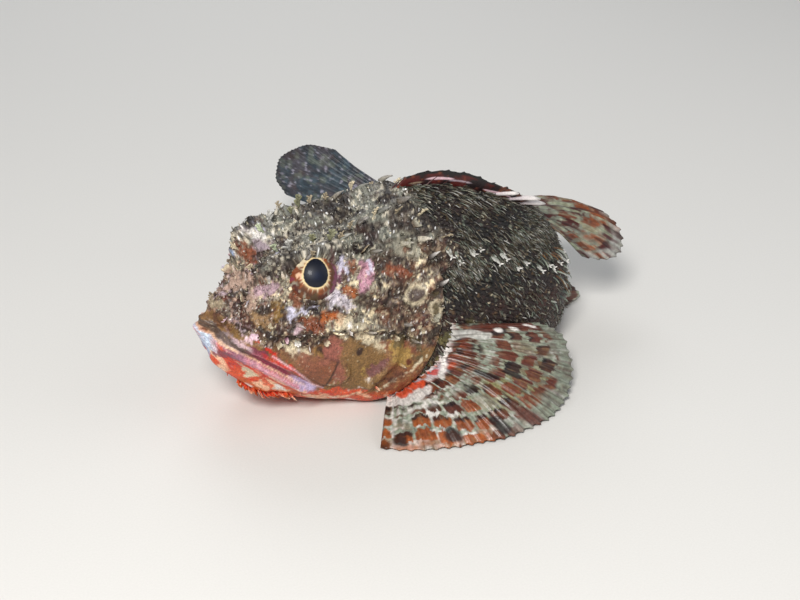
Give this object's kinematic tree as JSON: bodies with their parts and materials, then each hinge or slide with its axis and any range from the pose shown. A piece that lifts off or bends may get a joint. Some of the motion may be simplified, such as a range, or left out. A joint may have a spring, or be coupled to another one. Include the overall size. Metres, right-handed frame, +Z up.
{
  "type": "black scorpionfish model",
  "caption": "Life-size still model of a black scorpionfish lying on its belly, head spined and fringed, body bent, tail curled behind, one pectoral fin fanned out.",
  "frame": {"origin": "middle of the bounding box, on the floor under the belly", "axes": "+Z up; the head points to -X, the fish's left side faces -Y, and the tail is bent round to +Y"},
  "size_m": [0.1536, 0.1578, 0.0687],
  "materials": {
    "head_skin": "moist matte skin, mottled brown, cream and red",
    "jaw_skin": "moist matte skin, pink and orange-red",
    "body_skin": "moist matte scaled skin, dark brown with beige flecks",
    "fin": "thin satin membrane, barred brown, red and white",
    "eye": "clear gloss"
  },
  "bodies": {
    "root": {"head": "head_skin", "lower_jaw": "jaw_skin", "trunk": "body_skin", "rear_body": "body_skin", "tail_stalk": "body_skin", "eye_left": "eye", "eye_right": "eye", "brow_tentacle_left": "head_skin", "brow_tentacle_right": "head_skin", "pectoral_fin_left": "fin", "pectoral_fin_right": "fin", "spiny_dorsal_fin": "fin", "soft_dorsal_fin": "fin", "tail_fin": "fin", "anal_fin": "fin", "pelvic_fin_left": "fin", "pelvic_fin_right": "fin"}
  },
  "joints": []
}
